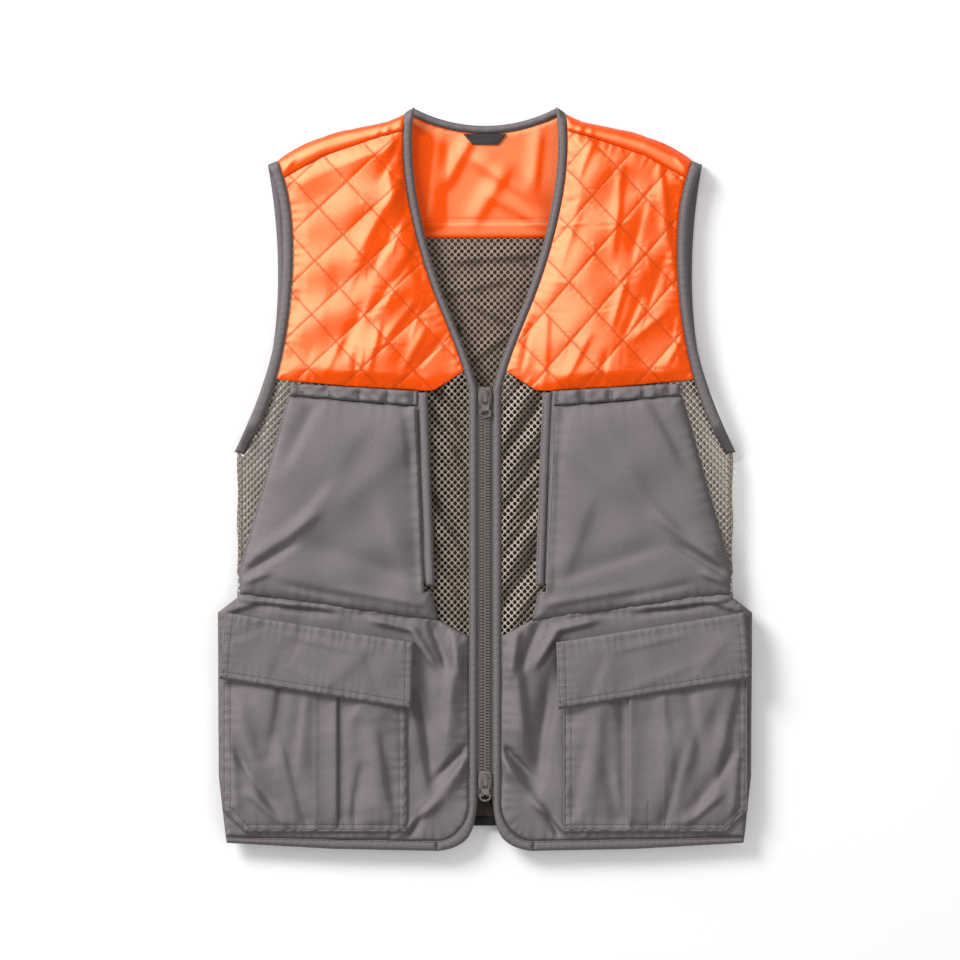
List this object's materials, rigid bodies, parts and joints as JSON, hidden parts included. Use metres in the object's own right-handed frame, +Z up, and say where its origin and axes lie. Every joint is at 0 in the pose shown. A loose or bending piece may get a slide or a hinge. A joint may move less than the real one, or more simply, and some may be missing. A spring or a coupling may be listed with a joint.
{
  "type": "hunting vest",
  "caption": "Sleeveless blaze orange and grey mesh field vest with quilted shoulders, a two-way front zip, flapped cargo pockets and a rear game bag, laid flat and zipped.",
  "frame": {"origin": "on the floor under the middle of the vest as it lies on its back", "axes": "+Z up, +Y to the collar, +X to the wearer's left"},
  "size_m": [0.532, 0.74, 0.0382],
  "materials": {
    "orange_shell": "satin woven blaze orange shell, quilted at the shoulders",
    "batting": "soft white batting",
    "mesh_net": "open knitted mesh, beige",
    "grey_shell": "warm grey twill, matte",
    "grey_binding": "grey woven binding tape with a stitch line",
    "dark_binding": "near black woven binding",
    "label": "blank dark woven label",
    "hook_and_loop": "grey hook and loop tape",
    "zip_tape": "dark grey woven zip tape",
    "zip_moulding": "moulded brown-grey plastic",
    "zip_metal": "painted gunmetal"
  },
  "bodies": {
    "vest": {"armhole_binding_left": "grey_binding", "armhole_binding_right": "grey_binding", "back_hem_binding": "dark_binding", "back_mesh": "mesh_net", "back_yoke": "orange_shell", "cargo_face_left": "grey_shell", "cargo_face_right": "grey_shell", "cargo_gusset_left": "grey_shell", "cargo_gusset_right": "grey_shell", "cargo_pleat_left": "grey_shell", "cargo_pleat_right": "grey_shell", "chest_pocket_left": "grey_shell", "chest_pocket_right": "grey_shell", "entry_welt_left": "grey_shell", "entry_welt_right": "grey_shell", "flap_root_left": "grey_shell", "flap_root_right": "grey_shell", "front_edge_binding_left": "grey_binding", "front_edge_binding_right": "grey_binding", "front_mesh_left": "mesh_net", "front_mesh_right": "mesh_net", "game_bag_panel": "orange_shell", "hem_binding_left": "grey_binding", "hem_binding_right": "grey_binding", "loop_tape_left": "grey_shell", "loop_tape_right": "grey_shell", "lower_front_left": "grey_shell", "lower_front_right": "grey_shell", "neck_binding": "grey_binding", "neck_label": "label", "pocket_loop_patch_left": "hook_and_loop", "pocket_loop_patch_right": "hook_and_loop", "quilted_yoke_left": "orange_shell", "quilted_yoke_right": "orange_shell", "shoulder_panel_left": "orange_shell", "shoulder_panel_right": "orange_shell", "side_mesh_left": "mesh_net", "side_mesh_right": "mesh_net", "yoke_batting_left": "batting", "yoke_batting_right": "batting", "zip_pin_left": "zip_moulding", "zip_pin_right": "zip_moulding", "zip_tape_left": "zip_tape", "zip_tape_right": "zip_tape", "zip_teeth_left": "zip_moulding", "zip_teeth_right": "zip_moulding", "zip_top_stop_left": "zip_moulding", "zip_top_stop_right": "zip_moulding"},
    "top_slider": {"zip_slider_top": "zip_metal"},
    "top_pull": {"zip_pull_top": "zip_metal"},
    "bottom_slider": {"zip_slider_bottom": "zip_metal"},
    "bottom_pull": {"zip_pull_bottom": "zip_metal"},
    "flap_left": {"cargo_flap_left": "grey_shell", "flap_hook_patch_left": "hook_and_loop"},
    "flap_right": {"cargo_flap_right": "grey_shell", "flap_hook_patch_right": "hook_and_loop"}
  },
  "joints": [
    {"name": "top_slider_slide", "type": "slide", "parent": "vest", "child": "top_slider", "axis": [0, -1, 0], "range_m": [0, 0.25]},
    {"name": "top_pull_swing", "type": "hinge", "parent": "top_slider", "child": "top_pull", "pos_m": [0, 0.082, 0.0259], "axis": [-1, 0, 0], "range_deg": [0, 170]},
    {"name": "bottom_slider_slide", "type": "slide", "parent": "vest", "child": "bottom_slider", "axis": [0, 1, 0], "range_m": [0, 0.07]},
    {"name": "bottom_pull_swing", "type": "hinge", "parent": "bottom_slider", "child": "bottom_pull", "pos_m": [0, -0.2995, 0.0259], "axis": [-1, 0, 0], "range_deg": [0, 170]},
    {"name": "flap_left_lift", "type": "hinge", "parent": "vest", "child": "flap_left", "pos_m": [0.16425, -0.147, 0.037], "axis": [-0.9874, -0.158, 0], "range_deg": [0, 160]},
    {"name": "flap_right_lift", "type": "hinge", "parent": "vest", "child": "flap_right", "pos_m": [-0.16425, -0.147, 0.037], "axis": [-0.9874, 0.158, 0], "range_deg": [0, 160]}
  ]
}
